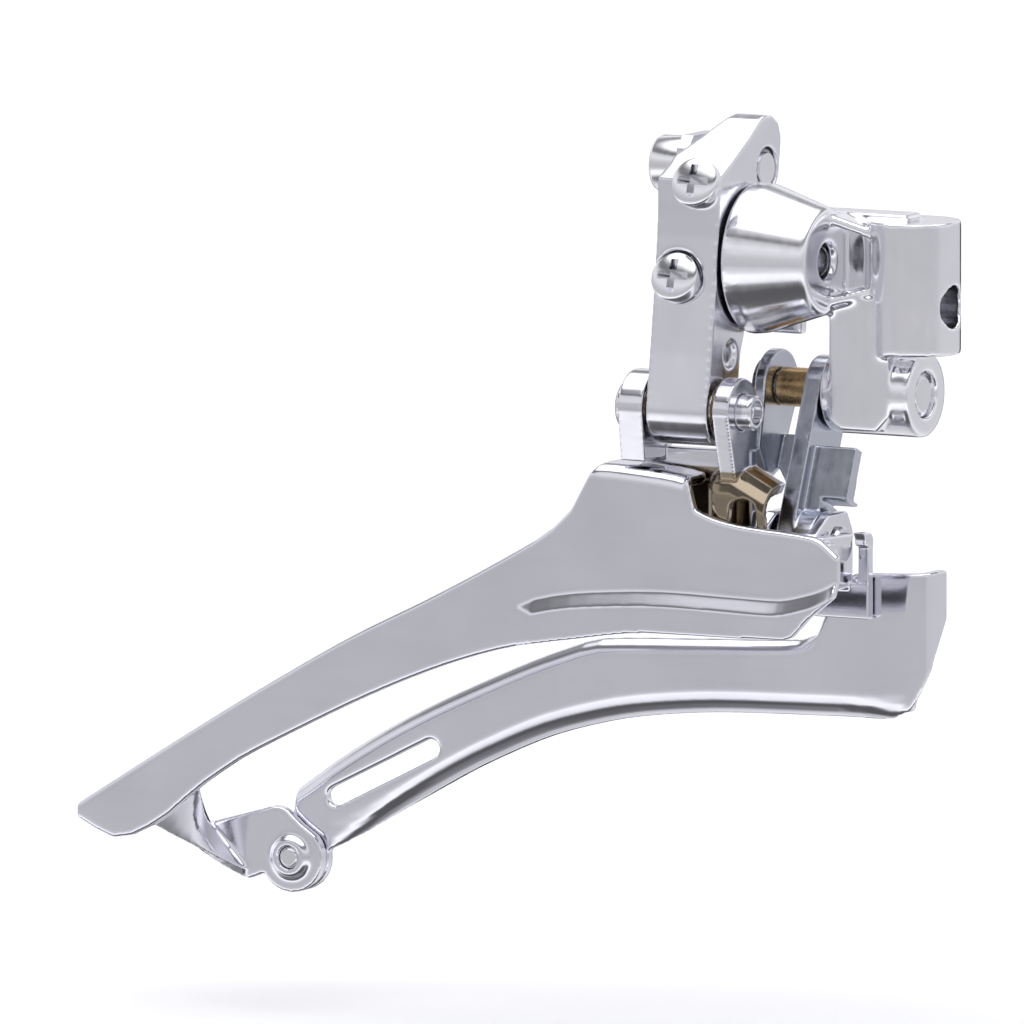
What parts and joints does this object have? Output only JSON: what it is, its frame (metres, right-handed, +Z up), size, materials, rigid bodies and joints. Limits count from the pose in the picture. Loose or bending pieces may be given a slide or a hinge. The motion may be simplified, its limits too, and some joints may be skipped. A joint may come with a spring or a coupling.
{
  "type": "front derailleur",
  "caption": "Direct-mount bottom-pull road front derailleur: polished half-round hanger bracket, parallel links, limit screws, cable bolt and a long plated steel chain cage.",
  "frame": {"origin": "centre of the hanger bolt's hole, on the crest of the bracket's half-round column", "axes": "+X towards the bicycle's front, +Y inboard towards the seat tube, +Z up"},
  "size_m": [0.1024, 0.0233, 0.091],
  "materials": {
    "polished_aluminium": "polished",
    "plated_steel": "polished plating",
    "hard_steel": "turned",
    "spring_steel": "dark",
    "bronze": "plain",
    "nylon": "matte"
  },
  "bodies": {
    "bracket": {"bracket_body": "polished_aluminium", "outer_link_upper_pin": "hard_steel", "outer_link_pin_clip": "spring_steel", "inner_link_upper_pin": "hard_steel", "inner_link_pin_clip": "spring_steel", "spring_washer": "nylon", "return_spring": "spring_steel"},
    "outer_link": {"outer_link": "polished_aluminium", "outer_link_upper_bush": "bronze", "outer_link_lower_bush": "bronze", "cable_clamp_washer": "plated_steel"},
    "limit_screw_high": {"limit_screw_high": "hard_steel"},
    "limit_screw_low": {"limit_screw_low": "hard_steel"},
    "cable_fixing_bolt": {"cable_fixing_bolt": "hard_steel"},
    "inner_link": {"inner_link": "plated_steel", "inner_link_upper_bush": "bronze", "inner_link_lower_bush": "bronze"},
    "cage": {"cage_outer_plate": "plated_steel", "cage_inner_plate": "plated_steel", "cage_link_bracket": "plated_steel", "cage_pivot_bracket": "plated_steel", "outer_link_lower_pin": "hard_steel", "inner_link_lower_pin": "hard_steel", "cage_tail_screw": "hard_steel"}
  },
  "joints": [
    {"name": "outer_link_swing", "type": "hinge", "parent": "bracket", "child": "outer_link", "pos_m": [-0.02623, -0.006, 0.005], "axis": [-1, 0, 0], "range_deg": [0, 40], "stiffness_Nm_per_rad": 0.25, "springref_deg": -34.38, "deforming": ["return_spring"]},
    {"name": "inner_link_swing", "type": "hinge", "parent": "bracket", "child": "inner_link", "pos_m": [-0.01593, 0, -0.01], "axis": [-1, 0, 0], "range_deg": [0, 40]},
    {"name": "cage_swing", "type": "hinge", "parent": "outer_link", "child": "cage", "pos_m": [-0.02623, -0.013, -0.0115], "axis": [-1, 0, 0], "range_deg": [-40, 0]},
    {"name": "limit_screw_high_turn", "type": "hinge", "parent": "outer_link", "child": "limit_screw_high", "pos_m": [-0.02458, -0.0162, 0.0145], "axis": [0, -0.9272, 0.3746], "range_deg": [-720, 720]},
    {"name": "limit_screw_low_turn", "type": "hinge", "parent": "outer_link", "child": "limit_screw_low", "pos_m": [-0.02708, -0.0162, 0.0038], "axis": [0, -0.9272, 0.3746], "range_deg": [-720, 720]},
    {"name": "cable_fixing_bolt_turn", "type": "hinge", "parent": "outer_link", "child": "cable_fixing_bolt", "pos_m": [-0.03598, -0.002, 0.0145], "axis": [-1, 0, 0], "range_deg": [0, 720]}
  ],
  "couplings": [
    {"joint": "inner_link_swing", "follows": "outer_link_swing", "ratio": 1},
    {"joint": "cage_swing", "follows": "outer_link_swing", "ratio": -1}
  ]
}
